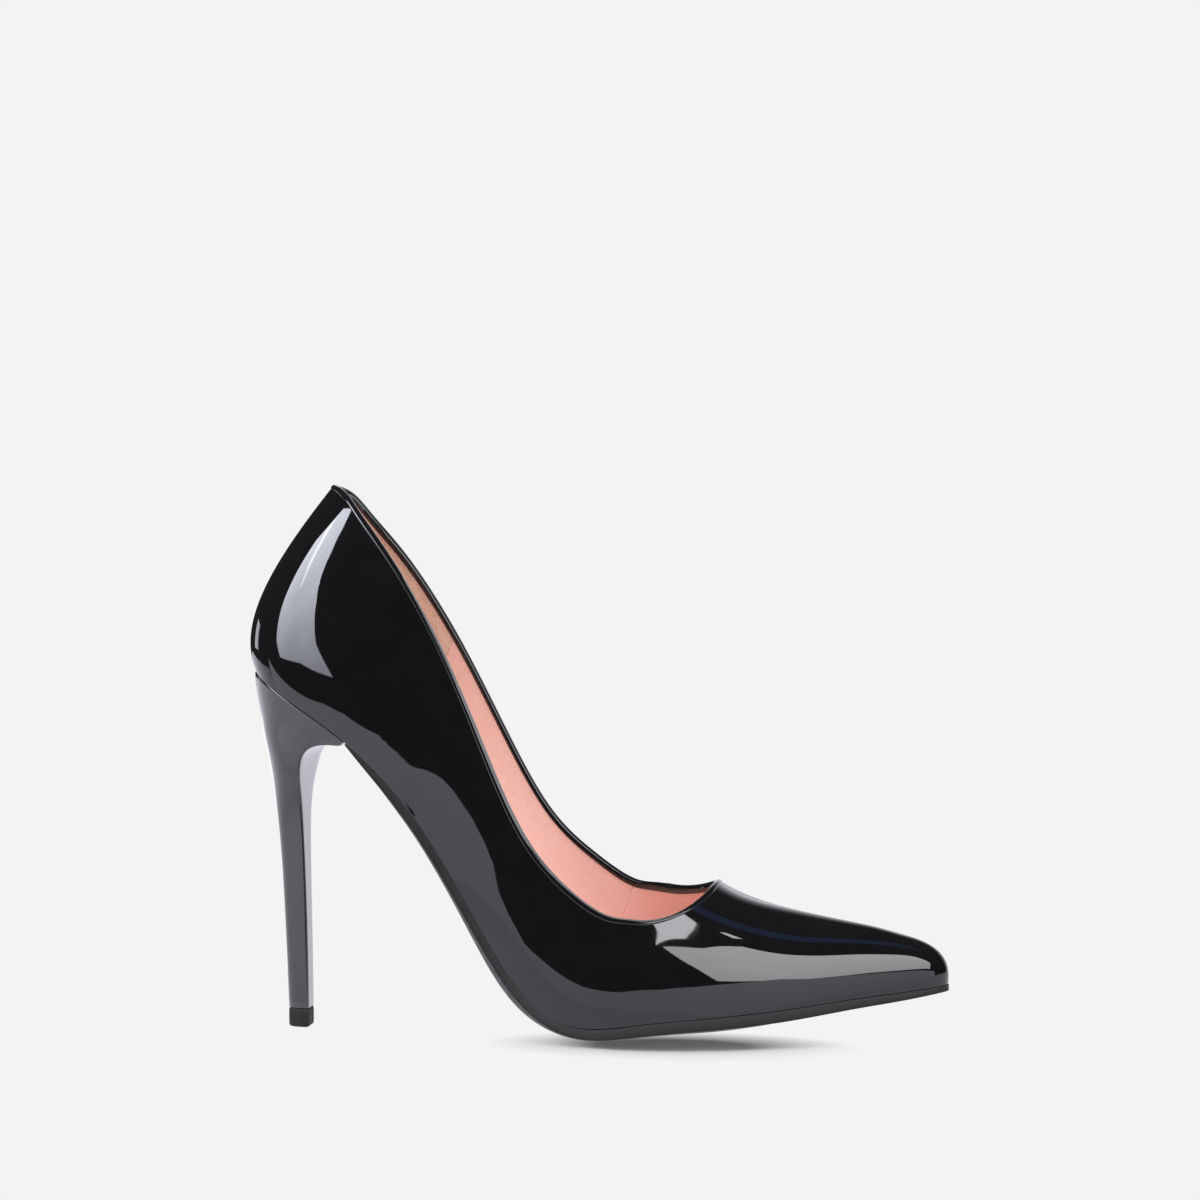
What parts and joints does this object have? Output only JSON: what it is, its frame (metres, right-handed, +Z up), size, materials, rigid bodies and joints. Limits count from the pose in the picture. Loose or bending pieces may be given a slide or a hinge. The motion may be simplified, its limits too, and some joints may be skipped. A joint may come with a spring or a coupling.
{
  "type": "high heel pump",
  "caption": "Pointed stiletto pump for the right foot: glossy black upper, pink lining, wrapped slim heel with a rubber top piece, built up from its real layers.",
  "frame": {"origin": "centre of the bottom of the shoe's box, on the plane that the shoe stands on", "axes": "+X towards the toe, +Y towards the inner (big toe) side, +Z up"},
  "size_m": [0.2326, 0.0716, 0.1814],
  "materials": {
    "patent_upper": "black patent leather, mirror gloss",
    "patent_binding": "black patent leather, rolled edge",
    "smooth_lining": "salmon pink smooth lining leather, soft sheen",
    "suede_grip": "tan pink suede, matt",
    "fibreboard": "pressed fibreboard, matt",
    "interlining": "woven backing cloth, matt",
    "toe_puff": "thermoplastic stiffener, matt",
    "shank_steel": "spring steel, satin",
    "cork_filler": "granulated cork, matt",
    "foam": "latex foam with cloth face, matt",
    "outsole_rubber": "black rubber, fine grain, semi-matt",
    "heel_plastic": "moulded ABS, satin",
    "heel_wrap": "black glossy heel wrap",
    "top_piece_rubber": "black hard rubber, matt"
  },
  "bodies": {
    "root": {"upper_shell": "patent_upper", "topline_binding": "patent_binding", "vamp_lining": "smooth_lining", "quarter_lining_outer": "smooth_lining", "quarter_lining_inner": "smooth_lining", "heel_grip": "suede_grip", "heel_counter": "fibreboard", "vamp_interlining": "interlining", "toe_puff": "toe_puff", "insole_board": "fibreboard", "shank_board": "fibreboard", "steel_shank": "shank_steel", "shank_rivet_rear": "shank_steel", "shank_rivet_front": "shank_steel", "bottom_filler": "cork_filler", "ball_cushion": "foam", "heel_cushion": "foam", "sock_lining": "smooth_lining", "outsole": "outsole_rubber", "heel_core": "heel_plastic", "heel_cover": "heel_wrap", "heel_tube": "shank_steel", "top_piece": "top_piece_rubber", "top_piece_dowel": "shank_steel", "heel_screw": "shank_steel", "heel_nail_1": "shank_steel", "heel_nail_2": "shank_steel", "heel_nail_3": "shank_steel", "heel_nail_4": "shank_steel", "heel_nail_5": "shank_steel"}
  },
  "joints": []
}
